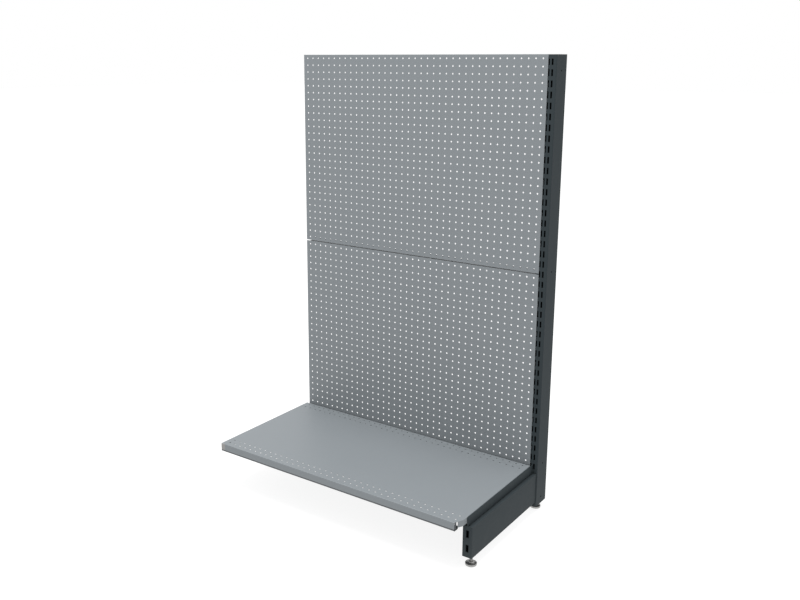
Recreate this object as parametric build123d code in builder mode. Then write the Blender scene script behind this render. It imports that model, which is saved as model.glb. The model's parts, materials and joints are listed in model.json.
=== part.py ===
"""Single-sided wall gondola, add-on bay: slotted upright, base leg, two perforated back panels
and a base shelf.

Millimetres, +Z up, the floor at Z = 0, the shopper's side towards -Y. The origin is the centre of
the bay's footprint on the floor.
"""

import os

from build123d import *
from build123d.topology import SkipClean

os.makedirs("parts", exist_ok=True)

# ---- Bay: the spacing of the uprights, and the perforation grid that the whole bay follows ----
BAY_PITCH = 1000.0  # centre line of one upright to the next
HOLE_PITCH = 25.0
HOLE_D = 5.6
SHEET_T = 1.0  # back panel sheet
FOOT_HEIGHT = 21.0  # floor to the bottom of the upright

# ---- Upright: a slotted rectangular tube ----
UPRIGHT_H = 1528.0  # without its cap
UPRIGHT_W = 40.0
UPRIGHT_D = 78.0
UPRIGHT_WALL = 2.0
UPRIGHT_R = 3.0
CAP_T = 2.0
CAP_CHAMFER = 0.6
CAP_PLUG_DEPTH = 12.0
CAP_WALL = 2.0
SLOT_W = 6.0
SLOT_H = 21.0
SLOT_PITCH = 34.0
SLOT_COLUMN = 6.0  # slot column to the upright's centre line
FIRST_SLOT_DROP = 22.0  # top of the bay to the centre of the first slot
SIDE_HOLE_D = 6.0
SIDE_HOLES_LOW = (24.0, 150.0)  # above the bottom of the upright
SIDE_HOLES_HIGH = (696.0, 48.0)  # below the top of the upright

# ---- Back panels: folded perforated sheets hung in the slots ----
PANEL_EDGE = 7.9  # edge of a panel to the upright's centre line
PANEL_SPLIT = 3.6  # gap between the upper and the lower panel
PANEL_CLEAR = 0.5  # panel sheet to the upright's front face
FLANGE_D = 15.0
FLANGE_LIP = 8.0
FLANGE_INSET = 14.0  # end of a flange to the panel's side edge
HOOK_EVERY = 3  # one hook to every third slot
HOOK_NECK = 13.0
HOOK_DROP = 6.0
HOOK_REACH = 4.0  # depth of a hook behind the slotted wall
HOOK_SEAT = 0.2  # hook to the lower end of its slot, and to the wall behind it

# ---- Base leg: an open channel with a spine that parts one bay's shelf from the next ----
LEG_H = 106.0
LEG_W = 33.0
LEG_LENGTH = 446.0
LEG_T = 2.0
LEG_TO_UPRIGHT = 0.5
LEG_LIP_GAP = 1.5  # inward lips of the channel to the spine
LEG_SLOT_W = 10.0
LEG_SLOT_H = 25.0
LEG_SLOT_PITCH = 49.0
LEG_SLOT_DROP = 27.0  # top of the channel to the centre of the first slot
SPINE_T = 3.0
SPINE_NOSE = 5.0  # corner cut at the spine's front
SPINE_SETBACK = 16.0  # spine behind the slotted front web
BRACKET_T = 2.5
BRACKET_LENGTH = 40.0
BRACKET_LIFT = 5.8  # floor of the channel to the bottom of the bracket
LEG_HOOKS = 3

# ---- Base shelf: a folded tray ----
SHELF_TOP = 173.5
SHELF_THICK = 30.0
SHELF_DEPTH = 490.0
SHELF_T = 1.0
SHELF_REAR_GAP = 8.0  # rear edge to the front of the panels
SHELF_SIDE_GAP = 1.0  # side edge to the spine
SHELF_REST = 0.3
SHELF_R = 2.0  # bend along the front edge
LIP_R = 3.5  # bend under the front lip
BEND_R = 2.0  # every other bend of the tray
CORNER_X = 14.0  # the open corner beside the leg
CORNER_Y = 30.0
CORNER_FLANGE = 20.0  # low flange that goes round the open corner
CORNER_RELIEF = 10.0  # end of the front lip to the start of that flange
FIN_SETBACK = 55.0  # front of the shelf to the full-height side
FRONT_RETURN = 22.0
FRONT_UPTURN = 10.0
REAR_RETURN = 20.0
SHELF_HOLE_ROWS = 2
FRONT_HOLE_EDGE = 22.0  # front edge to the first row of holes
REAR_HOLE_EDGE = 14.0
STIFFENER_W = 60.0
STIFFENER_H = 22.0
STIFFENER_FOOT = 15.0
STIFFENER_COUNT = 2
STIFFENER_PITCH = 180.0
STIFFENER_END = 30.0  # end of a stiffener to the shelf's side

# ---- Levelling feet ----
THREAD_R = 5.0
RUNNING = 0.06  # radial clearance of a stud in its nut
DISC_R = 18.5
DISC_RIM = 7.0
DISC_ROUND = 1.0  # edge that meets the floor
HUB_R = 8.0
HUB_H = 12.0
SOCKET_FLOOR = 4.0
NUT_AF = 17.0  # across flats
LOCKNUT_H = 6.0
WELD_NUT_H = 10.0
STUD_CHAMFER = 1.0
PLATE_T = 4.0
STUD_TOP_ABOVE_NUT = 6.0
LEG_FOOT_SETBACK = 28.0  # front of the leg to the centre of its foot
FIT = 0.2  # pieces that sit inside a tube or channel

# ---- Places that follow from the sizes above ----
REAR_REACH = SHEET_T + PANEL_CLEAR + UPRIGHT_D  # panel front to the back of the upright
FRONT_REACH = SHELF_REAR_GAP + SHELF_DEPTH  # panel front to the front of the shelf
FACE_Y = (FRONT_REACH - REAR_REACH) / 2  # front plane of the panels
SHELF_LEFT_OF_LINE = BAY_PITCH - SPINE_T / 2 - SHELF_SIDE_GAP
LINE_X = (SHELF_LEFT_OF_LINE - UPRIGHT_W / 2) / 2  # centre line of the upright
BAY_X = LINE_X - BAY_PITCH / 2  # middle of the bay
UPRIGHT_FRONT = FACE_Y + SHEET_T + PANEL_CLEAR
UPRIGHT_Y = UPRIGHT_FRONT + UPRIGHT_D / 2
UPRIGHT_TOP = FOOT_HEIGHT + UPRIGHT_H
BAY_TOP = UPRIGHT_TOP + CAP_T
PANEL_W = BAY_PITCH - 2 * PANEL_EDGE
SHELF_W = BAY_PITCH - SPINE_T - 2 * SHELF_SIDE_GAP
SHELF_UNDER = SHELF_TOP - SHELF_THICK
SHELF_REAR = FACE_Y - SHELF_REAR_GAP
SHELF_FRONT = SHELF_REAR - SHELF_DEPTH
LEG_TOP = SHELF_UNDER - SHELF_REST
LEG_BOTTOM = LEG_TOP - LEG_H
HOLE_COLUMNS = int(BAY_PITCH // HOLE_PITCH) - 1  # in the panels and in the shelf
PANEL_ROWS = int((BAY_TOP - PANEL_SPLIT - LEG_TOP) / 2 // HOLE_PITCH)
PANEL_H = PANEL_ROWS * HOLE_PITCH
LEG_REAR = UPRIGHT_FRONT - LEG_TO_UPRIGHT
LEG_FRONT = LEG_REAR - LEG_LENGTH
SLOT_COUNT = int((BAY_TOP - FOOT_HEIGHT - FIRST_SLOT_DROP) // SLOT_PITCH)
SLOT_HEIGHTS = [BAY_TOP - FIRST_SLOT_DROP - SLOT_PITCH * i for i in range(SLOT_COUNT)]
HOOK_HEIGHTS = SLOT_HEIGHTS[HOOK_EVERY - 1 :: HOOK_EVERY]


# ---- Upright ----
with BuildPart() as upright:
    with BuildSketch(Plane.XY.offset(FOOT_HEIGHT)):
        with Locations((LINE_X, UPRIGHT_Y)):
            RectangleRounded(UPRIGHT_W, UPRIGHT_D, UPRIGHT_R)
            RectangleRounded(
                UPRIGHT_W - 2 * UPRIGHT_WALL,
                UPRIGHT_D - 2 * UPRIGHT_WALL,
                UPRIGHT_R - UPRIGHT_WALL,
                mode=Mode.SUBTRACT,
            )
    extrude(amount=UPRIGHT_H)
    with BuildSketch(Plane.XZ.offset(-UPRIGHT_FRONT)):
        for height in SLOT_HEIGHTS:
            with Locations((LINE_X - SLOT_COLUMN, height), (LINE_X + SLOT_COLUMN, height)):
                Rectangle(SLOT_W, SLOT_H)
    extrude(amount=-UPRIGHT_WALL, mode=Mode.SUBTRACT)
    with BuildSketch(Plane.YZ.offset(LINE_X)):
        low_holes = [(UPRIGHT_Y, FOOT_HEIGHT + height) for height in SIDE_HOLES_LOW]
        high_holes = [(UPRIGHT_Y, UPRIGHT_TOP - drop) for drop in SIDE_HOLES_HIGH]
        with Locations(*low_holes, *high_holes):
            Circle(SIDE_HOLE_D / 2)
    extrude(amount=UPRIGHT_W / 2, both=True, mode=Mode.SUBTRACT)
upright.part.label = "upright"
export_step(upright.part, "parts/upright.step")

with BuildPart() as upright_top_cap:
    with BuildSketch(Plane.XY.offset(UPRIGHT_TOP)):
        with Locations((LINE_X, UPRIGHT_Y)):
            RectangleRounded(UPRIGHT_W, UPRIGHT_D, UPRIGHT_R)
    extrude(amount=CAP_T)
    chamfer(upright_top_cap.edges().group_by(Axis.Z)[-1], CAP_CHAMFER)
    plug_w = UPRIGHT_W - 2 * UPRIGHT_WALL - 2 * FIT
    plug_d = UPRIGHT_D - 2 * UPRIGHT_WALL - 2 * FIT
    with BuildSketch(Plane.XY.offset(UPRIGHT_TOP)):
        with Locations((LINE_X, UPRIGHT_Y)):
            RectangleRounded(plug_w, plug_d, UPRIGHT_R - UPRIGHT_WALL)
            Rectangle(plug_w - 2 * CAP_WALL, plug_d - 2 * CAP_WALL, mode=Mode.SUBTRACT)
    extrude(amount=-CAP_PLUG_DEPTH)
upright_top_cap.part.label = "upright_top_cap"
export_step(upright_top_cap.part, "parts/upright_top_cap.step")

with BuildPart() as upright_foot_plate:
    with BuildSketch(Plane.XY.offset(FOOT_HEIGHT)):
        with Locations((LINE_X, UPRIGHT_Y)):
            Rectangle(
                UPRIGHT_W - 2 * UPRIGHT_WALL - 2 * FIT, UPRIGHT_D - 2 * UPRIGHT_WALL - 2 * FIT
            )
            Circle(THREAD_R + RUNNING, mode=Mode.SUBTRACT)
    extrude(amount=PLATE_T)
upright_foot_plate.part.label = "upright_foot_plate"
export_step(upright_foot_plate.part, "parts/upright_foot_plate.step")

# ---- Base leg ----
with BuildPart() as base_leg_channel:
    with BuildSketch(Plane.XZ.offset(-LEG_REAR)):
        with Locations((LINE_X, LEG_BOTTOM + LEG_H / 2)):
            Rectangle(LEG_W, LEG_H)
            Rectangle(LEG_W - 2 * LEG_T, LEG_H - 2 * LEG_T, mode=Mode.SUBTRACT)
        with Locations((LINE_X, LEG_TOP - LEG_T / 2)):
            Rectangle(SPINE_T + 2 * LEG_LIP_GAP, LEG_T, mode=Mode.SUBTRACT)
    extrude(amount=LEG_LENGTH)
    with BuildSketch(Plane.XZ.offset(-LEG_FRONT)):
        with Locations((LINE_X, LEG_BOTTOM + LEG_H / 2)):
            Rectangle(LEG_W, LEG_H)
    extrude(amount=-LEG_T)
    with BuildSketch(Plane.XZ.offset(-LEG_FRONT)):
        with Locations(
            (LINE_X, LEG_TOP - LEG_SLOT_DROP),
            (LINE_X, LEG_TOP - LEG_SLOT_DROP - LEG_SLOT_PITCH),
        ):
            Rectangle(LEG_SLOT_W, LEG_SLOT_H)
    extrude(amount=-LEG_T, mode=Mode.SUBTRACT)
    with BuildSketch(Plane.XY.offset(LEG_BOTTOM)):
        with Locations((LINE_X, LEG_FRONT + LEG_FOOT_SETBACK)):
            Circle(THREAD_R + RUNNING)
    extrude(amount=LEG_T, mode=Mode.SUBTRACT)
base_leg_channel.part.label = "base_leg_channel"
export_step(base_leg_channel.part, "parts/base_leg_channel.step")

SPINE_REAR = LEG_REAR - BRACKET_LENGTH
FOOT_BAY = LEG_FRONT + LEG_FOOT_SETBACK + NUT_AF  # the spine's foot starts behind the front nut
with BuildPart() as base_leg_spine:
    with BuildSketch(Plane.YZ.offset(LINE_X - SPINE_T / 2)):
        with BuildLine():
            Polyline(
                (SPINE_REAR, LEG_BOTTOM + LEG_T),
                (FOOT_BAY, LEG_BOTTOM + LEG_T),
                (FOOT_BAY, LEG_TOP - LEG_SLOT_DROP),
                (LEG_FRONT + SPINE_SETBACK, LEG_TOP - LEG_SLOT_DROP / 2),
                (LEG_FRONT + SPINE_SETBACK, LEG_TOP),
                (LEG_FRONT, LEG_TOP),
                (LEG_FRONT, SHELF_TOP - SPINE_NOSE),
                (LEG_FRONT + SPINE_NOSE, SHELF_TOP),
                (LEG_REAR, SHELF_TOP),
                (LEG_REAR, LEG_TOP),
                (SPINE_REAR, LEG_TOP),
                close=True,
            )
        make_face()
    extrude(amount=SPINE_T)
base_leg_spine.part.label = "base_leg_spine"
export_step(base_leg_spine.part, "parts/base_leg_spine.step")

# A folded U that straddles the leg's centre line, its two cheeks in the two slot columns.
BRACKET_TOP = LEG_TOP - LEG_T - FIT
BRACKET_BOTTOM = LEG_BOTTOM + LEG_T + BRACKET_LIFT
CHEEK_X = (LINE_X - SLOT_COLUMN, LINE_X + SLOT_COLUMN)
LEG_HOOK_HEIGHTS = [h for h in SLOT_HEIGHTS if LEG_BOTTOM + SLOT_H < h < BRACKET_TOP][-LEG_HOOKS:]
with BuildPart() as base_leg_hook_bracket:
    with BuildSketch(Plane.XY.offset(BRACKET_BOTTOM)):
        with Locations((LINE_X, SPINE_REAR + BRACKET_T / 2)):
            Rectangle(2 * SLOT_COLUMN + BRACKET_T, BRACKET_T)
        with Locations(*[(x, SPINE_REAR + BRACKET_LENGTH / 2) for x in CHEEK_X]):
            Rectangle(BRACKET_T, BRACKET_LENGTH)
    extrude(amount=BRACKET_TOP - BRACKET_BOTTOM)
    neck_y = LEG_REAR + (LEG_TO_UPRIGHT + UPRIGHT_WALL + HOOK_SEAT) / 2
    hook_y = UPRIGHT_FRONT + UPRIGHT_WALL + HOOK_SEAT + HOOK_REACH / 2
    for height in LEG_HOOK_HEIGHTS:
        neck_z = height - SLOT_H / 2 + HOOK_SEAT + HOOK_NECK / 2
        with Locations(*[(x, neck_y, neck_z) for x in CHEEK_X]):
            Box(BRACKET_T, LEG_TO_UPRIGHT + UPRIGHT_WALL + HOOK_SEAT, HOOK_NECK)
        with Locations(*[(x, hook_y, neck_z - HOOK_DROP / 2) for x in CHEEK_X]):
            Box(BRACKET_T, HOOK_REACH, HOOK_NECK + HOOK_DROP)
base_leg_hook_bracket.part.label = "base_leg_hook_bracket"
export_step(base_leg_hook_bracket.part, "parts/base_leg_hook_bracket.step")

# ---- Back panels ----
# Both panels have the same perforated sheet, made row by row. Each row keeps its own faces.
with BuildPart() as panel_row:
    with BuildSketch(Plane.XZ.offset(-FACE_Y)):
        with Locations((BAY_X, 0)):
            Rectangle(PANEL_W, HOLE_PITCH)
        with Locations((BAY_X, 0)):
            with GridLocations(HOLE_PITCH, HOLE_PITCH, HOLE_COLUMNS, 1):
                Circle(HOLE_D / 2, mode=Mode.SUBTRACT)
    extrude(amount=-SHEET_T)

UPPER_BOTTOM = BAY_TOP - PANEL_H
PANEL_BOTTOMS = {
    "upper_back_panel": UPPER_BOTTOM,
    "lower_back_panel": UPPER_BOTTOM - PANEL_SPLIT - PANEL_H,
}
for panel_name, bottom in PANEL_BOTTOMS.items():
    top = bottom + PANEL_H
    row_heights = [bottom + HOLE_PITCH * (row + 0.5) for row in range(PANEL_ROWS)]
    flange_w = PANEL_W - 2 * FLANGE_INSET
    with BuildPart() as back_panel, SkipClean():
        with Locations(*[(0, 0, height) for height in row_heights]):
            add(panel_row.part)
        for edge, inward in ((top, -1), (bottom, 1)):
            with Locations((BAY_X, FACE_Y + SHEET_T + FLANGE_D / 2, edge + inward * SHEET_T / 2)):
                Box(flange_w, FLANGE_D, SHEET_T)
            lip_y = FACE_Y + SHEET_T + FLANGE_D - SHEET_T / 2
            with Locations((BAY_X, lip_y, edge + inward * (SHEET_T + FLANGE_LIP / 2))):
                Box(flange_w, SHEET_T, FLANGE_LIP)
        tab_x = PANEL_W / 2 - SHEET_T / 2
        neck_d = PANEL_CLEAR + UPRIGHT_WALL + HOOK_SEAT
        for height in HOOK_HEIGHTS:
            neck_z = height - SLOT_H / 2 + HOOK_SEAT + HOOK_NECK / 2
            if not bottom + HOOK_NECK < neck_z < top - HOOK_NECK:
                continue
            hook_y = FACE_Y + SHEET_T + neck_d + HOOK_REACH / 2
            with Locations(*[(BAY_X + s * tab_x, FACE_Y + SHEET_T + neck_d / 2, neck_z) for s in (-1, 1)]):
                Box(SHEET_T, neck_d, HOOK_NECK)
            with Locations(*[(BAY_X + s * tab_x, hook_y, neck_z - HOOK_DROP / 2) for s in (-1, 1)]):
                Box(SHEET_T, HOOK_REACH, HOOK_NECK + HOOK_DROP)
    back_panel.part.label = panel_name
    export_step(back_panel.part, f"parts/{panel_name}.step")

# ---- Base shelf ----
SHELF_LEFT = BAY_X - SHELF_W / 2
SHELF_RIGHT = BAY_X + SHELF_W / 2
OPEN_CORNER = SHELF_RIGHT - CORNER_X  # right end of the front lip
SIDE_REAR = SHELF_REAR - 2 * SHELF_T
with BuildPart() as base_shelf:
    with BuildSketch(Plane.YZ.offset(SHELF_LEFT)):
        with BuildLine():
            FilletPolyline(
                (SHELF_FRONT + FRONT_RETURN, SHELF_UNDER + FRONT_UPTURN),
                (SHELF_FRONT + FRONT_RETURN, SHELF_UNDER),
                (SHELF_FRONT, SHELF_UNDER),
                (SHELF_FRONT, SHELF_TOP),
                (SHELF_REAR, SHELF_TOP),
                (SHELF_REAR, SHELF_UNDER),
                (SHELF_REAR - REAR_RETURN, SHELF_UNDER),
                radius=[BEND_R, LIP_R, SHELF_R, BEND_R, BEND_R],
            )
            offset(amount=SHELF_T, side=Side.RIGHT)
        make_face()
    extrude(amount=OPEN_CORNER - SHELF_LEFT)
    # The tray widens to the bay's full width behind the open corner.
    with BuildSketch(Plane.XY.offset(SHELF_TOP)):
        with BuildLine():
            Polyline(
                (OPEN_CORNER, SHELF_FRONT + SHELF_R),
                (SHELF_RIGHT, SHELF_FRONT + CORNER_Y),
                (SHELF_RIGHT, SIDE_REAR),
                (OPEN_CORNER, SIDE_REAR),
                close=True,
            )
        make_face()
    extrude(amount=-SHELF_T)
    relief_x = OPEN_CORNER + CORNER_RELIEF * CORNER_X / (CORNER_Y - SHELF_R)
    relief_y = SHELF_FRONT + SHELF_R + CORNER_RELIEF
    with BuildSketch(Plane.XY.offset(SHELF_TOP)):
        with BuildLine():
            Polyline(
                (relief_x, relief_y),
                (SHELF_RIGHT, SHELF_FRONT + CORNER_Y),
                (SHELF_RIGHT - SHELF_T, SHELF_FRONT + CORNER_Y + SHELF_T),
                (relief_x - SHELF_T, relief_y + SHELF_T),
                close=True,
            )
        make_face()
    extrude(amount=-CORNER_FLANGE)
    with BuildSketch(Plane.YZ.offset(SHELF_RIGHT)):
        with BuildLine():
            Polyline(
                (SHELF_FRONT + CORNER_Y, SHELF_TOP),
                (SIDE_REAR, SHELF_TOP),
                (SIDE_REAR, SHELF_UNDER),
                (SHELF_FRONT + FIN_SETBACK, SHELF_UNDER),
                (SHELF_FRONT + FIN_SETBACK, SHELF_TOP - CORNER_FLANGE),
                (SHELF_FRONT + CORNER_Y, SHELF_TOP - CORNER_FLANGE),
                close=True,
            )
        make_face()
    extrude(amount=-SHELF_T)
    # A short return closes the right end of the lip.
    return_length = relief_y - SHELF_FRONT - LIP_R
    with Locations(
        (
            OPEN_CORNER - SHELF_T / 2,
            SHELF_FRONT + LIP_R + return_length / 2,
            (SHELF_UNDER + LIP_R + SHELF_TOP) / 2,
        )
    ):
        Box(SHELF_T, return_length, SHELF_TOP - SHELF_UNDER - LIP_R)
    side_front = SHELF_FRONT + SHELF_R
    with Locations(
        (SHELF_LEFT + SHELF_T / 2, (side_front + SIDE_REAR) / 2, (SHELF_TOP + SHELF_UNDER) / 2)
    ):
        Box(SHELF_T, SIDE_REAR - side_front, SHELF_THICK)
    with BuildSketch(Plane.XY.offset(SHELF_TOP - SHELF_T)):
        for edge_y, inward, inset in (
            (SHELF_FRONT, 1, FRONT_HOLE_EDGE),
            (SHELF_REAR, -1, REAR_HOLE_EDGE),
        ):
            middle = edge_y + inward * (inset + HOLE_PITCH * (SHELF_HOLE_ROWS - 1) / 2)
            with Locations((BAY_X, middle)):
                with GridLocations(HOLE_PITCH, HOLE_PITCH, HOLE_COLUMNS, SHELF_HOLE_ROWS):
                    Circle(HOLE_D / 2)
    extrude(amount=SHELF_T, mode=Mode.SUBTRACT)
base_shelf.part.label = "base_shelf"
export_step(base_shelf.part, "parts/base_shelf.step")

# Hat-section stiffeners spot-welded under the tray.
STIFFENER_MIDDLE = (SHELF_FRONT + SHELF_REAR) / 2
with BuildPart() as shelf_stiffeners:
    for number in range(STIFFENER_COUNT):
        centre_y = STIFFENER_MIDDLE + (number - (STIFFENER_COUNT - 1) / 2) * STIFFENER_PITCH
        wall_y = STIFFENER_W / 2 - STIFFENER_FOOT
        sheet_under = SHELF_TOP - SHELF_T
        with BuildSketch(Plane.YZ.offset(BAY_X)):
            with Locations((centre_y, sheet_under - STIFFENER_H + SHELF_T / 2)):
                Rectangle(2 * wall_y, SHELF_T)
            for side in (-1, 1):
                with Locations((centre_y + side * (wall_y - SHELF_T / 2), sheet_under - STIFFENER_H / 2)):
                    Rectangle(SHELF_T, STIFFENER_H)
                foot_middle = wall_y + STIFFENER_FOOT / 2 - SHELF_T / 2
                with Locations((centre_y + side * foot_middle, sheet_under - SHELF_T / 2)):
                    Rectangle(STIFFENER_FOOT + SHELF_T, SHELF_T)
        extrude(amount=SHELF_W / 2 - STIFFENER_END, both=True)
shelf_stiffeners.part.label = "shelf_stiffeners"
export_step(shelf_stiffeners.part, "parts/shelf_stiffeners.step")

# ---- Levelling feet: one under the leg's front end, one under the upright ----
FEET = {
    "front": (LEG_FRONT + LEG_FOOT_SETBACK, LEG_BOTTOM, LEG_BOTTOM + LEG_T),
    "rear": (UPRIGHT_Y, FOOT_HEIGHT, FOOT_HEIGHT + PLATE_T),
}
for place, (foot_y, under, seat) in FEET.items():
    locknut_bottom = under - LOCKNUT_H
    stud_top = seat + WELD_NUT_H + STUD_TOP_ABOVE_NUT
    with BuildPart() as foot_disc:
        with BuildSketch(Plane.XY):
            with Locations((LINE_X, foot_y)):
                Circle(DISC_R)
        extrude(amount=DISC_RIM)
        with BuildSketch(Plane.XY.offset(DISC_RIM)):
            with Locations((LINE_X, foot_y)):
                Circle(DISC_R)
        with BuildSketch(Plane.XY.offset(HUB_H)):
            with Locations((LINE_X, foot_y)):
                Circle(HUB_R)
        loft()
        with Locations((LINE_X, foot_y, (HUB_H + SOCKET_FLOOR) / 2)):
            Cylinder(THREAD_R + RUNNING, HUB_H - SOCKET_FLOOR, mode=Mode.SUBTRACT)
        fillet(foot_disc.edges().group_by(Axis.Z)[0], DISC_ROUND)
    foot_disc.part.label = f"{place}_foot_disc"
    export_step(foot_disc.part, f"parts/{place}_foot_disc.step")

    with BuildPart() as foot_stud:
        with BuildSketch(Plane.XY.offset(SOCKET_FLOOR + FIT)):
            with Locations((LINE_X, foot_y)):
                Circle(THREAD_R)
        extrude(amount=stud_top - SOCKET_FLOOR - FIT)
        chamfer(foot_stud.edges().group_by(Axis.Z)[-1], STUD_CHAMFER)
    foot_stud.part.label = f"{place}_foot_stud"
    export_step(foot_stud.part, f"parts/{place}_foot_stud.step")

    with BuildPart() as locknut:
        with BuildSketch(Plane.XY.offset(locknut_bottom)):
            with Locations((LINE_X, foot_y)):
                RegularPolygon(NUT_AF / 2, 6, major_radius=False)
                Circle(THREAD_R + RUNNING, mode=Mode.SUBTRACT)
        extrude(amount=LOCKNUT_H)
    locknut.part.label = f"{place}_foot_locknut"
    export_step(locknut.part, f"parts/{place}_foot_locknut.step")

    with BuildPart() as weld_nut:
        with BuildSketch(Plane.XY.offset(seat)):
            with Locations((LINE_X, foot_y)):
                RegularPolygon(NUT_AF / 2, 6, major_radius=False)
                Circle(THREAD_R + RUNNING, mode=Mode.SUBTRACT)
        extrude(amount=WELD_NUT_H)
    weld_nut.part.label = f"{place}_foot_weld_nut"
    export_step(weld_nut.part, f"parts/{place}_foot_weld_nut.step")
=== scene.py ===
# %% [markdown]
# # A perforated wall gondola
# This lesson dresses a shop shelving bay that already exists as a CAD model. The CAD
# says where every sheet, tube and screw is. Blender adds what the CAD leaves out: powder
# coat with its fine orange peel, zinc plating, rolled threads and softly broken edges.
# The frame is loaded first, because every later piece takes its place from it.

# %% Load the fixed frame
import json
import math

import bpy
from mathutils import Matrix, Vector


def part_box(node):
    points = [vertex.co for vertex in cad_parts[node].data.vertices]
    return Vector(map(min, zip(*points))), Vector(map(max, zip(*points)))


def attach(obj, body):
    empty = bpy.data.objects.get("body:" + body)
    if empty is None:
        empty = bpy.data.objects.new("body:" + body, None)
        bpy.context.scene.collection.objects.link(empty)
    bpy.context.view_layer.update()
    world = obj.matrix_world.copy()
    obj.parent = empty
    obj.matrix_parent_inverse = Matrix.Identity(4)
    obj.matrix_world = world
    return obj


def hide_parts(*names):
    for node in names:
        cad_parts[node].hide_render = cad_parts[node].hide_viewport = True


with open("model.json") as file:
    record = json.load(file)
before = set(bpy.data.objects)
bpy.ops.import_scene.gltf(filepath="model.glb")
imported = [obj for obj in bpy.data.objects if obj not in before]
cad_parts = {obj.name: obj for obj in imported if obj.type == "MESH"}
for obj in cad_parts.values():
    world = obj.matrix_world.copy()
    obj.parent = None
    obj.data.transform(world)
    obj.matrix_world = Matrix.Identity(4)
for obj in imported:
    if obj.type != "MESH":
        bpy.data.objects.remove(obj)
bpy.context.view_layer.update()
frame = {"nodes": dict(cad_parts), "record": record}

# %% [markdown]
# ## The camera
# The bay is seen from the right and from eye level, so the panels run away to the left
# and the dark upright closes the view on the right. A long lens would flatten the shelf,
# so the lens is a moderate one, and a small shift frames the bay without tilting the
# verticals any further.

# %% Set the camera
CAMERA_PLACE = (1.6953, -2.4279, 1.5392)
CAMERA_TURN = math.radians(35.88)
CAMERA_DOWN = math.radians(13.31)
LENS_MM = 40.22
SENSOR_MM = 36.0
LENS_SHIFT = (0.0408, -0.0381)
camera_data = bpy.data.cameras.new("camera")
camera_data.lens = LENS_MM
camera_data.sensor_width = SENSOR_MM
camera_data.shift_x, camera_data.shift_y = LENS_SHIFT
camera = bpy.data.objects.new("camera", camera_data)
bpy.context.scene.collection.objects.link(camera)
camera.location = CAMERA_PLACE
camera.rotation_euler = (math.pi / 2 - CAMERA_DOWN, 0.0, CAMERA_TURN)
bpy.context.scene.camera = camera
print("camera looks down by", round(math.degrees(CAMERA_DOWN), 1), "degrees")

# %% [markdown]
# ## The studio
# Painted sheet metal shows its form only through soft, wide light. A white room does most
# of the work here, and the floor glows a little, like a lightbox under a product. One
# large lamp overhead lifts the shelf's top above the panels.

# %% Floor, room light and a soft lamp overhead
WHITE = (1, 1, 1, 1)
FLOOR_SIZE = 80.0
FLOOR_COLOUR = (0.19, 0.19, 0.19, 1)
FLOOR_ROUGHNESS = 0.9
FLOOR_GLOW = 0.86
ROOM_LIGHT = 1.0
LAMP_PLACE = (-0.1, -0.45, 4.6)
LAMP_SIZE = 2.2
LAMP_POWER = 190
BAY_MIDDLE = (0.0, 0.0, 0.8)


def new_material(name):
    """A new material, its node tree and its shader."""
    material = bpy.data.materials.new(name)
    material.use_nodes = True
    return material, material.node_tree, material.node_tree.nodes["Principled BSDF"]


bpy.ops.object.select_all(action="DESELECT")
bpy.ops.mesh.primitive_plane_add(size=FLOOR_SIZE, location=(0, 0, 0))
floor = bpy.context.object
floor.name = "studio_floor"
floor_paint, _, floor_shader = new_material("studio floor")
floor_shader.inputs["Base Color"].default_value = FLOOR_COLOUR
floor_shader.inputs["Roughness"].default_value = FLOOR_ROUGHNESS
floor_shader.inputs["Emission Color"].default_value = WHITE
floor_shader.inputs["Emission Strength"].default_value = FLOOR_GLOW
floor.data.materials.append(floor_paint)

world = bpy.data.worlds.new("studio room")
bpy.context.scene.world = world
world.use_nodes = True
room = world.node_tree.nodes["Background"]
room.inputs["Color"].default_value = WHITE
room.inputs["Strength"].default_value = ROOM_LIGHT
bpy.context.scene.view_settings.view_transform = "Standard"

lamp_data = bpy.data.lights.new("overhead lamp", "AREA")
lamp_data.size = LAMP_SIZE
lamp_data.energy = LAMP_POWER
lamp = bpy.data.objects.new("overhead lamp", lamp_data)
bpy.context.scene.collection.objects.link(lamp)
lamp.location = LAMP_PLACE
lamp_aim = Vector(BAY_MIDDLE) - Vector(LAMP_PLACE)
lamp.rotation_euler = lamp_aim.to_track_quat("-Z", "Y").to_euler()
print("lamp:", lamp.name, "at", LAMP_PLACE[2], "m")

# %% [markdown]
# ## Node groups for the finishes
# Each effect of a finish is built once, as a node group: the orange peel of a powder
# coat, the soft highlight along a folded edge, the dust and scuffs that gather low down
# in a shop, the painted shade on faces that look down, and the painted shade and light
# on the shelf's lip. A group gives out only values and normals. The shader itself stays
# in each material.


# %% Helpers for node trees
FLOAT, VECTOR = "NodeSocketFloat", "NodeSocketVector"


def new_group(name, inputs, outputs):
    """A node group with its tree, the values it takes in and the sockets it gives out."""
    tree = bpy.data.node_groups.new(name, "ShaderNodeTree")
    for label, value in inputs.items():
        socket = tree.interface.new_socket(label, in_out="INPUT", socket_type=FLOAT)
        socket.default_value = value
    for label, kind in outputs.items():
        tree.interface.new_socket(label, in_out="OUTPUT", socket_type=kind)
    group_in = tree.nodes.new("NodeGroupInput")
    group_out = tree.nodes.new("NodeGroupOutput")
    return tree, group_in.outputs, group_out.inputs


def add_node(tree, kind, settings=None, inputs=None):
    """A node with its settings, and each input given as a value or as a socket to link."""
    node = tree.nodes.new(kind)
    for key, value in (settings or {}).items():
        setattr(node, key, value)
    for key, value in (inputs or {}).items():
        if isinstance(value, bpy.types.NodeSocket):
            tree.links.new(value, node.inputs[key])
        else:
            node.inputs[key].default_value = value
    return node


def math_node(tree, operation, first, second):
    """A Math node's result."""
    settings = {"operation": operation}
    return add_node(tree, "ShaderNodeMath", settings, {0: first, 1: second}).outputs[0]


def object_place(tree):
    """The place on the piece, in the object's own coordinates."""
    return add_node(tree, "ShaderNodeTexCoord").outputs["Object"]


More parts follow.
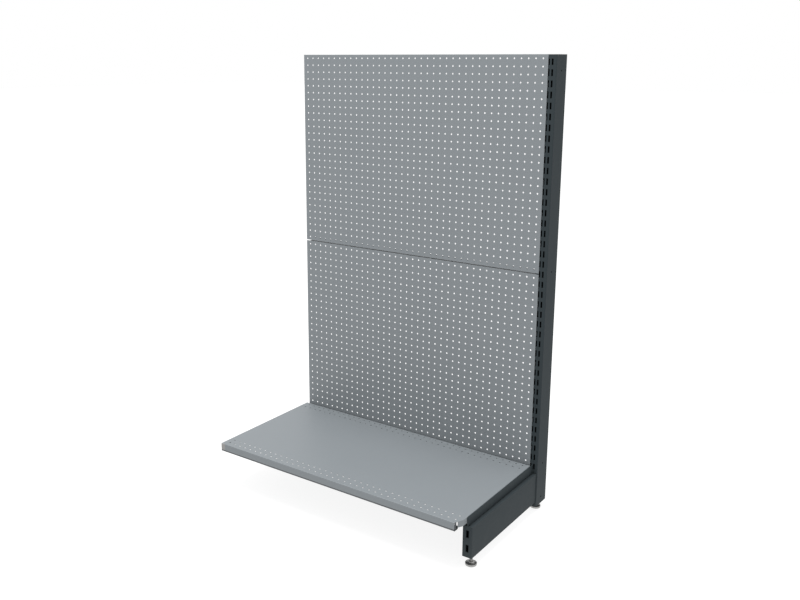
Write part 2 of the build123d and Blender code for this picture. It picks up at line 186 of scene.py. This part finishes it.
def surface_normal(tree):
    """The direction that the surface faces."""
    return add_node(tree, "ShaderNodeNewGeometry").outputs["Normal"]


def axes_of(tree, vector):
    """The three parts of a vector, by the names X, Y and Z."""
    return add_node(tree, "ShaderNodeSeparateXYZ", {}, {0: vector}).outputs


def noise(tree, place, scale, detail, roughness=0.5):
    """A noise texture's value at place."""
    inputs = {"Vector": place, "Scale": scale, "Detail": detail, "Roughness": roughness}
    return add_node(tree, "ShaderNodeTexNoise", {}, inputs).outputs["Fac"]


def ramp(tree, value, start, end, low=0.0, high=1.0, kind="LINEAR"):
    """A value carried from the range start to end over to low to high, and held there."""
    settings = {"clamp": True, "interpolation_type": kind}
    inputs = {"Value": value, "From Min": start, "From Max": end, "To Min": low, "To Max": high}
    return add_node(tree, "ShaderNodeMapRange", settings, inputs).outputs[0]


def mixed(tree, factor, first, second):
    """The colour between first and second, each an RGB triple or a socket."""
    inputs = {"Factor": factor, "A": first, "B": second}
    for label in ("A", "B"):
        if not isinstance(inputs[label], bpy.types.NodeSocket):
            inputs[label] = (*inputs[label], 1)
    return add_node(tree, "ShaderNodeMix", {"data_type": "RGBA"}, inputs).outputs["Result"]


def bumped(tree, strength, distance, height, normal):
    """The normal after a height pattern has disturbed it."""
    inputs = {"Strength": strength, "Distance": distance, "Height": height, "Normal": normal}
    return add_node(tree, "ShaderNodeBump", {}, inputs).outputs["Normal"]


def group_node(tree, group, values):
    """The outputs of a group that is placed in a material with its own values."""
    return add_node(tree, "ShaderNodeGroup", {"node_tree": group}, values).outputs


# %% Orange peel of a powder coat
BUMP_DETAIL, BUMP_ROUGHNESS = 2.0, 0.45
CLOUD_SCALE, CLOUD_DETAIL = 3.0, 4.0
peel, peel_in, peel_out = new_group(
    "orange peel", {"Cell": 0.0016}, {"Height": FLOAT, "Cloud": FLOAT}
)
peel_place = object_place(peel)
peel_scale = math_node(peel, "DIVIDE", 1.0, peel_in["Cell"])
peel_bumps = noise(peel, peel_place, peel_scale, BUMP_DETAIL, BUMP_ROUGHNESS)
peel_cloud = noise(peel, peel_place, CLOUD_SCALE, CLOUD_DETAIL)
peel.links.new(peel_bumps, peel_out["Height"])
peel.links.new(peel_cloud, peel_out["Cloud"])
print("group:", peel.name)

# %% Softened edges
BEVEL_SAMPLES = 4
EDGE_STARTS, EDGE_FULL = 0.98, 0.80  # cosines between the rounded and the flat normal
edges, edges_in, edges_out = new_group(
    "soft edge", {"Radius": 0.0006}, {"Normal": VECTOR, "Edge": FLOAT}
)
round_normal = add_node(
    edges, "ShaderNodeBevel", {"samples": BEVEL_SAMPLES}, {"Radius": edges_in["Radius"]}
).outputs[0]
edge_cosine = add_node(
    edges,
    "ShaderNodeVectorMath",
    {"operation": "DOT_PRODUCT"},
    {0: round_normal, 1: surface_normal(edges)},
).outputs["Value"]
edges.links.new(round_normal, edges_out["Normal"])
edges.links.new(ramp(edges, edge_cosine, EDGE_STARTS, EDGE_FULL), edges_out["Edge"])
print("group:", edges.name)

# %% Dust and scuffs near the floor
PATCH_SCALE, PATCH_DETAIL, PATCH_ROUGHNESS = 22.0, 6.0, 0.65
SCUFF_STRETCH = (9.0, 9.0, 160.0)  # long across a wall, thin up it
SCUFF_DETAIL = 3.0
SCUFF_STARTS, SCUFF_FULL = 0.66, 0.74
dust, dust_in, dust_out = new_group(
    "shop dust", {"Reach": 0.25, "Amount": 0.3}, {"Dust": FLOAT, "Scuff": FLOAT}
)
dust_place = object_place(dust)
dust_height = axes_of(dust, dust_place)["Z"]
dust_fall = ramp(dust, dust_height, 0.0, dust_in["Reach"], 1.0, 0.0, "SMOOTHSTEP")
dust_patch = noise(dust, dust_place, PATCH_SCALE, PATCH_DETAIL, PATCH_ROUGHNESS)
dust_level = math_node(dust, "MULTIPLY", dust_fall, dust_patch)
dust_total = math_node(dust, "MULTIPLY", dust_level, dust_in["Amount"])
scuff_place = add_node(
    dust, "ShaderNodeMapping", {}, {"Vector": dust_place, "Scale": SCUFF_STRETCH}
).outputs[0]
scuff_noise = noise(dust, scuff_place, 1.0, SCUFF_DETAIL)
scuff_mask = ramp(dust, scuff_noise, SCUFF_STARTS, SCUFF_FULL)
scuff_low = math_node(dust, "MULTIPLY", scuff_mask, dust_fall)
dust.links.new(dust_total, dust_out["Dust"])
dust.links.new(scuff_low, dust_out["Scuff"])
print("group:", dust.name)

# %% Painted shade on downward faces
shade, shade_in, shade_out = new_group(
    "underside", {"Start": -0.1, "Full": -0.5}, {"Under": FLOAT}
)
# Painted shade: faces that look down get a darker colour.
shade_up = axes_of(shade, surface_normal(shade))["Z"]
shade_mask = ramp(shade, shade_up, shade_in["Start"], shade_in["Full"])
shade.links.new(shade_mask, shade_out["Under"])
print("group:", shade.name)

# %% Painted shade on the bottom band and the end of the shelf's lip, painted light on its left corner
FACING_FRONT = -0.3  # the normal's y, from where a face counts as the lip's front
FACING_RIGHT = 0.9  # the normal's x, from where a face counts as the lip's end
lip_light_and_shade, lip_in, lip_out = new_group(
    "lip light and shade",
    {
        "Bottom": 0.14,
        "Height": 0.0065,
        "Left": -0.5,
        "Width": 0.017,
        "Front": -0.29,
        "Return": 0.02,
    },
    {"Painted shade": FLOAT, "Tab": FLOAT},
)
lip_axes = axes_of(lip_light_and_shade, object_place(lip_light_and_shade))
lip_facing = axes_of(lip_light_and_shade, surface_normal(lip_light_and_shade))
# Painted shade: a darker band along the bottom of the lip's front, and on the lip's right end.
shade_band_top = math_node(lip_light_and_shade, "ADD", lip_in["Bottom"], lip_in["Height"])
# Painted light: a lighter, warmer strip at the lip's left corner.
light_strip_right = math_node(lip_light_and_shade, "ADD", lip_in["Left"], lip_in["Width"])
end_rear = math_node(lip_light_and_shade, "ADD", lip_in["Front"], lip_in["Return"])
faces_front = math_node(lip_light_and_shade, "LESS_THAN", lip_facing["Y"], FACING_FRONT)
faces_right = math_node(lip_light_and_shade, "GREATER_THAN", lip_facing["X"], FACING_RIGHT)
shade_band_low = math_node(lip_light_and_shade, "LESS_THAN", lip_axes["Z"], shade_band_top)
light_strip_left = math_node(lip_light_and_shade, "LESS_THAN", lip_axes["X"], light_strip_right)
end_near = math_node(lip_light_and_shade, "LESS_THAN", lip_axes["Y"], end_rear)
shade_band_front = math_node(lip_light_and_shade, "MULTIPLY", shade_band_low, faces_front)
end_side = math_node(lip_light_and_shade, "MULTIPLY", end_near, faces_right)
light_strip_front = math_node(lip_light_and_shade, "MULTIPLY", light_strip_left, faces_front)
lip_light_and_shade.links.new(math_node(lip_light_and_shade, "MAXIMUM", shade_band_front, end_side), lip_out["Painted shade"])
lip_light_and_shade.links.new(light_strip_front, lip_out["Tab"])
print("group:", lip_light_and_shade.name)

# %% [markdown]
# ## Powder coat
# Shop fittings are sprayed with dry powder and baked, which leaves an even satin film
# with a fine orange peel. The two colours of the bay, a mid grey and an anthracite, are
# the same film, so one function makes both. The cloud in the colour is only a few
# percent, as in real batches, and folds get a painted highlight, a touch lighter. Faces
# that look down get painted shade, a darker colour, which draws the line under the shelf.


# %% Powder-coated steel in two colours
COAT_CELL = 0.0018
COAT_FOLD = 0.0006
COAT_CLOUD = (0.965, 1.035)  # shares of the colour in a cloud's dark and light parts
# Painted highlight: how far folded edges move towards the lighter colour.
EDGE_HIGHLIGHT = 0.6
DUST_REACH = 0.22
DUST_COLOUR = (0.42, 0.40, 0.37)
UNDERSIDE_SHADE = 0.38  # share of the colour kept where shade is painted, on downward faces and on the lip
UNDER_STARTS, UNDER_FULL = -0.12, -0.45
# Painted light: the lighter, warmer tone on the left corner of the shelf's lip.
CORNER_LIGHT_COLOUR = (0.232, 0.228, 0.222)
COAT_ROUGHNESS_SPREAD = (-0.04, 0.05)
SCUFF_SHINE = -0.12
PEEL_STRENGTH, PEEL_DEPTH = 0.16, 0.0002


def scaled(colour, share):
    """A colour times share, held at white."""
    return [min(1.0, c * share) for c in colour]


def powder_coat(name, colour, roughness, shine, edge_highlight_gain, dust_amount, lip_values=None):
    """Satin powder coat on folded sheet, with a painted highlight on folds and painted shade on
    downward faces. lip_values add the painted shade and light of the shelf's lip.
    """
    material, tree, shader = new_material(name)
    shader.inputs["Specular IOR Level"].default_value = shine
    film = group_node(tree, peel, {"Cell": COAT_CELL})
    fold = group_node(tree, edges, {"Radius": COAT_FOLD})
    grime = group_node(tree, dust, {"Reach": DUST_REACH, "Amount": dust_amount})
    under = group_node(tree, shade, {"Start": UNDER_STARTS, "Full": UNDER_FULL})
    dark, light = [scaled(colour, share) for share in COAT_CLOUD]
    shaded_colour = scaled(colour, UNDERSIDE_SHADE)
    # Painted highlight: folded edges a touch lighter.
    fold_highlight = math_node(tree, "MULTIPLY", fold["Edge"], EDGE_HIGHLIGHT)
    coat = mixed(tree, film["Cloud"], dark, light)
    coat = mixed(tree, fold_highlight, coat, scaled(colour, edge_highlight_gain))
    coat = mixed(tree, grime["Dust"], coat, DUST_COLOUR)
    # Painted shade on faces that look down.
    coat = mixed(tree, under["Under"], coat, shaded_colour)
    if lip_values:
        lip = group_node(tree, lip_light_and_shade, lip_values)
        # Painted light on the left corner of the lip.
        coat = mixed(tree, lip["Tab"], coat, CORNER_LIGHT_COLOUR)
        # Painted shade on the lip's bottom band and on its right end.
        coat = mixed(tree, lip["Painted shade"], coat, shaded_colour)
    tree.links.new(coat, shader.inputs["Base Color"])
    smoothest, roughest = [roughness + step for step in COAT_ROUGHNESS_SPREAD]
    rough = ramp(tree, film["Cloud"], 0.0, 1.0, smoothest, roughest)
    scuffed = math_node(tree, "MULTIPLY", grime["Scuff"], SCUFF_SHINE)
    tree.links.new(math_node(tree, "ADD", rough, scuffed), shader.inputs["Roughness"])
    normal = bumped(tree, PEEL_STRENGTH, PEEL_DEPTH, film["Height"], fold["Normal"])
    tree.links.new(normal, shader.inputs["Normal"])
    return material


GREY = {
    "colour": (0.172, 0.189, 0.201),
    "roughness": 0.50,
    "shine": 0.40,
    "edge_highlight_gain": 1.12,
    "dust_amount": 0.05,
}
ANTHRACITE = {
    "colour": (0.031, 0.039, 0.043),
    "roughness": 0.52,
    "shine": 0.04,
    "edge_highlight_gain": 1.35,
    "dust_amount": 0.04,
}
# Sizes of the lip's painted shade band, the painted light strip at its left corner and the
# painted shade at its end.
SHADE_BAND_HEIGHT = 0.0065
CORNER_LIGHT_WIDTH = 0.017
END_DEPTH = 0.02
shelf_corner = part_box("base_shelf")[0]
shelf_lip = {
    "Bottom": shelf_corner.z,
    "Height": SHADE_BAND_HEIGHT,
    "Left": shelf_corner.x,
    "Width": CORNER_LIGHT_WIDTH,
    "Front": shelf_corner.y,
    "Return": END_DEPTH,
}
grey_coat = powder_coat("grey powder coat", **GREY)
shelf_coat = powder_coat("grey powder coat on the shelf", **GREY, lip_values=shelf_lip)
anthracite_coat = powder_coat("anthracite powder coat", **ANTHRACITE)
print("paints:", grey_coat.name, "and", anthracite_coat.name)

# %% [markdown]
# ## Zinc plating and plastic
# The feet, studs and nuts are zinc-plated steel. Plating is a metal, so its colour is
# its reflection, broken up by fine spangle and by turning marks. The cap is moulded
# plastic with an eroded, matt surface.


# %% Zinc-plated steel and moulded plastic
SPANGLE_SCALE, SPANGLE_DARK = 420.0, 0.86
MARKS_SCALE, MARKS_DETAIL = 900.0, 3.0
MARKS_STRENGTH, MARKS_DEPTH = 0.12, 0.0001
ZINC_FOLD = 0.0004
ZINC_ROUGHNESS_SPREAD = (-0.08, 0.10)
PLASTIC_CELL, PLASTIC_FOLD = 0.0007, 0.0008
PLASTIC_LIGHT = 1.25
PLASTIC_ROUGHNESS = 0.58
GRAIN_STRENGTH, GRAIN_DEPTH = 0.25, 0.0002


def zinc_plate(name, tint, roughness):
    """Bright zinc plate with a faint spangle and turning marks."""
    material, tree, shader = new_material(name)
    shader.inputs["Metallic"].default_value = 1.0
    place = object_place(tree)
    spangle = add_node(
        tree, "ShaderNodeTexVoronoi", {}, {"Vector": place, "Scale": SPANGLE_SCALE}
    ).outputs["Distance"]
    marks = noise(tree, place, MARKS_SCALE, MARKS_DETAIL)
    fold = group_node(tree, edges, {"Radius": ZINC_FOLD})
    tone = mixed(tree, spangle, tint, scaled(tint, SPANGLE_DARK))
    tree.links.new(tone, shader.inputs["Base Color"])
    smoothest, roughest = [roughness + step for step in ZINC_ROUGHNESS_SPREAD]
    rough = ramp(tree, marks, 0.0, 1.0, smoothest, roughest)
    tree.links.new(rough, shader.inputs["Roughness"])
    normal = bumped(tree, MARKS_STRENGTH, MARKS_DEPTH, marks, fold["Normal"])
    tree.links.new(normal, shader.inputs["Normal"])
    return material


def moulded_plastic(name, colour):
    """Black plastic with a fine spark-eroded grain."""
    material, tree, shader = new_material(name)
    grain = group_node(tree, peel, {"Cell": PLASTIC_CELL})
    fold = group_node(tree, edges, {"Radius": PLASTIC_FOLD})
    tone = mixed(tree, grain["Cloud"], colour, scaled(colour, PLASTIC_LIGHT))
    tree.links.new(tone, shader.inputs["Base Color"])
    shader.inputs["Roughness"].default_value = PLASTIC_ROUGHNESS
    normal = bumped(tree, GRAIN_STRENGTH, GRAIN_DEPTH, grain["Height"], fold["Normal"])
    tree.links.new(normal, shader.inputs["Normal"])
    return material


zinc = zinc_plate("zinc plate", (0.40, 0.40, 0.39), 0.34)
plastic = moulded_plastic("black plastic", (0.030, 0.033, 0.036))
print("finishes:", zinc.name, "and", plastic.name)

# %% [markdown]
# ## Painting the CAD pieces
# The imported record names a material slot for every CAD node. Each slot gets the finish
# that was made for it, so a piece added to the CAD later is painted without a new line.
# The base shelf alone gets its own coat, the same grey with painted shade and light on its lip.

# %% Give every CAD node its finish
FINISHES = {
    "grey_paint": grey_coat,
    "anthracite_paint": anthracite_coat,
    "zinc": zinc,
    "black_plastic": plastic,
}
for subpart in frame["record"]["subparts"]:
    node = frame["nodes"][subpart["node"]]
    node.data.materials.clear()
    node.data.materials.append(FINISHES[subpart["material_slot"]])
frame["nodes"]["base_shelf"].data.materials[0] = shelf_coat

# %% [markdown]
# ## Turned and rolled parts
# A levelling foot is a turned steel disc on a threaded stud, held by a locknut. All three
# come from one idea: an outline turned about the stud's axis. With no rise it gives the
# disc. With a rise of one pitch a turn it gives a true helical thread, which is then cut
# square at both ends. A plain cylinder would lose the glitter that a thread has.


# %% Turn an outline about an upright axis
MERGE_DISTANCE = 1e-6


def select_only(piece):
    """Leave nothing selected but piece, which becomes the active object."""
    bpy.ops.object.select_all(action="DESELECT")
    piece.select_set(True)
    bpy.context.view_layer.objects.active = piece


def apply_all_modifiers(piece):
    """Apply every modifier of piece, from the first to the last."""
    select_only(piece)
    for modifier in list(piece.modifiers):
        bpy.ops.object.modifier_apply(modifier=modifier.name)


def turned(name, outline, axis, steps, pitch=0.0, turns=1):
    """The outline, as (radius, height) pairs, turned about the vertical axis at (x, y)."""
    mesh = bpy.data.meshes.new(name)
    points = [(radius, 0.0, height) for radius, height in outline]
    mesh.from_pydata(points, [(i, i + 1) for i in range(len(points) - 1)], [])
    piece = bpy.data.objects.new(name, mesh)
    bpy.context.scene.collection.objects.link(piece)
    screw = piece.modifiers.new("turn", "SCREW")
    screw.axis = "Z"
    screw.steps = screw.render_steps = steps
    screw.screw_offset = pitch
    screw.iterations = turns
    screw.use_merge_vertices = True
    screw.merge_threshold = MERGE_DISTANCE
    apply_all_modifiers(piece)
    bpy.ops.object.mode_set(mode="EDIT")
    bpy.ops.mesh.select_all(action="SELECT")
    bpy.ops.mesh.remove_doubles(threshold=MERGE_DISTANCE)
    bpy.ops.mesh.normals_make_consistent(inside=False)
    bpy.ops.transform.translate(value=(*axis, 0.0))
    bpy.ops.object.mode_set(mode="OBJECT")
    return piece


def cut_square(piece, low, high):
    """Cut piece at two heights and close both cuts."""
    select_only(piece)
    bpy.ops.object.mode_set(mode="EDIT")
    for height, keep_below in ((high, True), (low, False)):
        bpy.ops.mesh.select_all(action="SELECT")
        bpy.ops.mesh.bisect(
            plane_co=(0.0, 0.0, height),
            plane_no=(0.0, 0.0, 1.0),
            use_fill=True,
            clear_outer=keep_below,
            clear_inner=not keep_below,
        )
    bpy.ops.mesh.select_all(action="SELECT")
    bpy.ops.mesh.normals_make_consistent(inside=False)
    bpy.ops.object.mode_set(mode="OBJECT")


def smooth_by_angle(piece, degrees):
    """Smooth shading, with every fold sharper than this left crisp."""
    select_only(piece)
    bpy.ops.object.shade_smooth_by_angle(angle=math.radians(degrees))


# %% Where the feet stand
MM = 0.001
FEET = {}
for place in ("front", "rear"):
    disc_low, disc_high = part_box(f"{place}_foot_disc")
    stud_low, stud_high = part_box(f"{place}_foot_stud")
    nut_low, nut_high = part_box(f"{place}_foot_locknut")
    FEET[place] = {
        "axis": ((disc_low.x + disc_high.x) / 2, (disc_low.y + disc_high.y) / 2),
        "disc_r": (disc_high.x - disc_low.x) / 2,
        "hub_top": disc_high.z,
        "stud_r": (stud_high.x - stud_low.x) / 2,
        "stud": (stud_low.z, stud_high.z),
        "nut": (nut_low.z, nut_high.z),
        "nut_flats": nut_high.y - nut_low.y,
    }
    print(place, "foot on", [round(v, 4) for v in FEET[place]["axis"]])

# %% Roll the two studs
THREAD_PITCH = 1.5 * MM
THREAD_DEPTH = 0.85 * MM
THREAD_STEPS = 32
THREAD_CREASE = 40.0
THREAD_LEAD = 2  # turns rolled below the stud and then cut away
# Share of the pitch, and share of the depth from root to crest.
THREAD_LANDS = ((0.0, 1.0), (0.10, 1.0), (0.42, 0.0), (0.62, 0.0), (0.94, 1.0), (1.0, 1.0))
for place, foot in FEET.items():
    low, high = foot["stud"]
    start = low - THREAD_LEAD * THREAD_PITCH
    outline = [
        (foot["stud_r"] - THREAD_DEPTH * (1.0 - crest), start + THREAD_PITCH * along)
        for along, crest in THREAD_LANDS
    ]
    turns = math.ceil((high - start) / THREAD_PITCH) + 1
    stud = turned(
        f"{place}_threaded_stud", outline, foot["axis"], THREAD_STEPS, THREAD_PITCH, turns
    )
    cut_square(stud, low, high)
    smooth_by_angle(stud, THREAD_CREASE)
    stud.data.materials.append(zinc)
    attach(stud, f"{place}_stud")
    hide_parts(f"{place}_foot_stud")
    print(stud.name, "turns of thread:", turns, "faces:", len(stud.data.polygons))

# %% Turn the two foot discs
THREAD_CLEARANCE = 0.06 * MM
DISC_STEPS = 72
DISC_CREASE = 32.0
SOLE_RECESS = 0.6 * MM
SOLE_SHARES = (0.55, 0.62)  # of the disc's radius, where the recess in the sole ends
FOOT_ROUND = 1.6 * MM
TOP_ROUND = 0.6 * MM
WALL_TOP = 6.4 * MM
SKIRT_INSET = 1.0 * MM
HUB_R = 8.0 * MM
HUB_WALL = 1.0 * MM
HUB_BLEND = 1.2 * MM
SWEEP_STEPS = 12
SWEEP_IN, SWEEP_UP = 1.25, 1.35  # exponents of the upper face, inwards and upwards
BORE_CHAMFER = 0.7 * MM
BORE_FLOOR = 4.0 * MM


def arc(centre_r, centre_z, radius, first, last, count):
    """Points of an arc of the outline, with angles in degrees from the outward direction."""
    angles = [math.radians(first + (last - first) * i / (count - 1)) for i in range(count)]
    return [(centre_r + radius * math.cos(a), centre_z + radius * math.sin(a)) for a in angles]


for place, foot in FEET.items():
    rim, hub = foot["disc_r"], foot["hub_top"]
    bore = foot["stud_r"] + THREAD_CLEARANCE
    skirt_r, skirt_z = rim - SKIRT_INSET, WALL_TOP + TOP_ROUND
    sweep = []
    for i in range(1, SWEEP_STEPS):
        share = i / SWEEP_STEPS
        sweep.append(
            (
                skirt_r + (HUB_R - skirt_r) * (1 - (1 - share) ** SWEEP_IN),
                skirt_z + (hub - HUB_BLEND - skirt_z) * share**SWEEP_UP,
            )
        )
    outline = (
        [(0.0, SOLE_RECESS), (rim * SOLE_SHARES[0], SOLE_RECESS), (rim * SOLE_SHARES[1], 0.0)]
        + arc(rim - FOOT_ROUND, FOOT_ROUND, FOOT_ROUND, -90, 0, 5)
        + arc(rim - TOP_ROUND, WALL_TOP, TOP_ROUND, 0, 80, 4)
        + sweep
        + [(HUB_R, hub - HUB_WALL)]
        + arc(HUB_R - TOP_ROUND, hub - TOP_ROUND, TOP_ROUND, 0, 90, 4)
        + [(bore + BORE_CHAMFER, hub), (bore, hub - BORE_CHAMFER)]
        + [(bore, BORE_FLOOR), (0.0, BORE_FLOOR)]
    )
    disc = turned(f"{place}_turned_disc", outline, foot["axis"], DISC_STEPS)
    smooth_by_angle(disc, DISC_CREASE)
    disc.data.materials.append(zinc)
    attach(disc, f"{place}_disc")
    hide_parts(f"{place}_foot_disc")
    print(disc.name, "faces:", len(disc.data.polygons))

# %% [markdown]
# ## Locknuts
# A real nut is a hexagon whose corners are turned away by a 30 degree cone, which draws
# the curved line that everyone knows from a nut's flats. The hexagon is a six-sided
# cylinder, and the cone comes from a turned barrel that it is intersected with.


# %% Chamfered hexagon nuts
HALF_SIDE = math.radians(30)  # half the angle that one side of a hexagon spans
CONE_ANGLE = math.radians(30)
BARREL_STEPS = 96
BORE_STEPS = 32
BOOLEAN_CREASE = 28.0


def with_tool(piece, tool, operation):
    """Apply a boolean with a tool piece, and delete the tool."""
    cut = piece.modifiers.new("cut", "BOOLEAN")
    cut.object = tool
    cut.operation = operation
    cut.solver = "EXACT"
    apply_all_modifiers(piece)
    bpy.data.objects.remove(tool, do_unlink=True)


for place, foot in FEET.items():
    low, high = foot["nut"]
    flats = foot["nut_flats"] / 2
    corner = flats / math.cos(HALF_SIDE)
    bpy.ops.object.select_all(action="DESELECT")
    bpy.ops.mesh.primitive_cylinder_add(
        vertices=6,
        radius=corner,
        depth=high - low,
        location=(*foot["axis"], (low + high) / 2),
        rotation=(0, 0, HALF_SIDE),
    )
    nut = bpy.context.object
    nut.name = nut.data.name = f"{place}_chamfered_locknut"
    bpy.ops.object.transform_apply(location=True, rotation=True, scale=True)
    drop = (corner - flats) * math.tan(CONE_ANGLE)
    barrel_outline = [
        (0, low),
        (flats, low),
        (corner, low + drop),
        (corner, high - drop),
        (flats, high),
        (0, high),
    ]
    with_tool(nut, turned("barrel", barrel_outline, foot["axis"], BARREL_STEPS), "INTERSECT")
    bore_r = foot["stud_r"] + THREAD_CLEARANCE
    bore_outline = [(0, low - MM), (bore_r, low - MM), (bore_r, high + MM), (0, high + MM)]
    with_tool(nut, turned("bore", bore_outline, foot["axis"], BORE_STEPS), "DIFFERENCE")
    smooth_by_angle(nut, BOOLEAN_CREASE)
    nut.data.materials.clear()
    nut.data.materials.append(zinc)
    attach(nut, f"{place}_locknut")
    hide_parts(f"{place}_foot_locknut")
    print(nut.name, "faces:", len(nut.data.polygons))

# %% [markdown]
# ## The moulded cap
# The upright's cap is a plastic moulding: a thin plate with a softened rim, and a hollow
# plug under it that grips inside the tube. Blocks with rounded upright edges make all
# three shapes, and booleans put them together.


# %% Mould the cap of the upright
CORNER_SEGMENTS = 6
RIM_SEGMENTS = 3
RIM_ANGLE = math.radians(50)
CAP_PLATE = 2.0 * MM
CAP_CORNER, CAP_RIM = 3.0 * MM, 0.6 * MM
PLUG_INSET = 2.2 * MM
PLUG_WALL = 2.0 * MM
PLUG_OVERLAP = 0.5 * MM
PLUG_CORNER, HOLLOW_CORNER = 1.0 * MM, 0.6 * MM


def moulded_block(name, low, high, corner, rim):
    """A block whose upright edges are rounded, and whose other edges are softened by rim."""
    bpy.ops.object.select_all(action="DESELECT")
    middle = (Vector(low) + Vector(high)) / 2
    bpy.ops.mesh.primitive_cube_add(size=1.0, location=middle, scale=Vector(high) - Vector(low))
    block = bpy.context.object
    block.name = block.data.name = name
    bpy.ops.object.transform_apply(location=True, rotation=True, scale=True)
    bpy.ops.object.mode_set(mode="EDIT")
    bpy.ops.mesh.select_mode(type="EDGE")
    bpy.ops.mesh.select_all(action="DESELECT")
    bpy.ops.object.mode_set(mode="OBJECT")
    heights = [vertex.co.z for vertex in block.data.vertices]
    for edge in block.data.edges:
        first, last = edge.vertices
        edge.select = abs(heights[first] - heights[last]) > MERGE_DISTANCE
    bpy.ops.object.mode_set(mode="EDIT")
    bpy.ops.mesh.bevel(offset=corner, segments=CORNER_SEGMENTS, affect="EDGES")
    bpy.ops.object.mode_set(mode="OBJECT")
    if rim:
        soft = block.modifiers.new("rim", "BEVEL")
        soft.width = rim
        soft.segments = RIM_SEGMENTS
        soft.limit_method = "ANGLE"
        soft.angle_limit = RIM_ANGLE
        apply_all_modifiers(block)
    return block


cap_low, cap_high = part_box("upright_top_cap")
seat = cap_high.z - CAP_PLATE
plate_low = (cap_low.x, cap_low.y, seat)
plug_low = (cap_low.x + PLUG_INSET, cap_low.y + PLUG_INSET, cap_low.z)
plug_high = (cap_high.x - PLUG_INSET, cap_high.y - PLUG_INSET, seat + PLUG_OVERLAP)
hollow_low = (plug_low[0] + PLUG_WALL, plug_low[1] + PLUG_WALL, plug_low[2] - MM)
hollow_high = (plug_high[0] - PLUG_WALL, plug_high[1] - PLUG_WALL, seat)
cap = moulded_block("moulded_top_cap", plate_low, cap_high, CAP_CORNER, CAP_RIM)
with_tool(cap, moulded_block("plug", plug_low, plug_high, PLUG_CORNER, 0.0), "UNION")
hollow = moulded_block("hollow", hollow_low, hollow_high, HOLLOW_CORNER, 0.0)
with_tool(cap, hollow, "DIFFERENCE")
smooth_by_angle(cap, BOOLEAN_CREASE)
cap.data.materials.clear()
cap.data.materials.append(plastic)
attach(cap, "frame")
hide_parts("upright_top_cap")
print(cap.name, "faces:", len(cap.data.polygons))
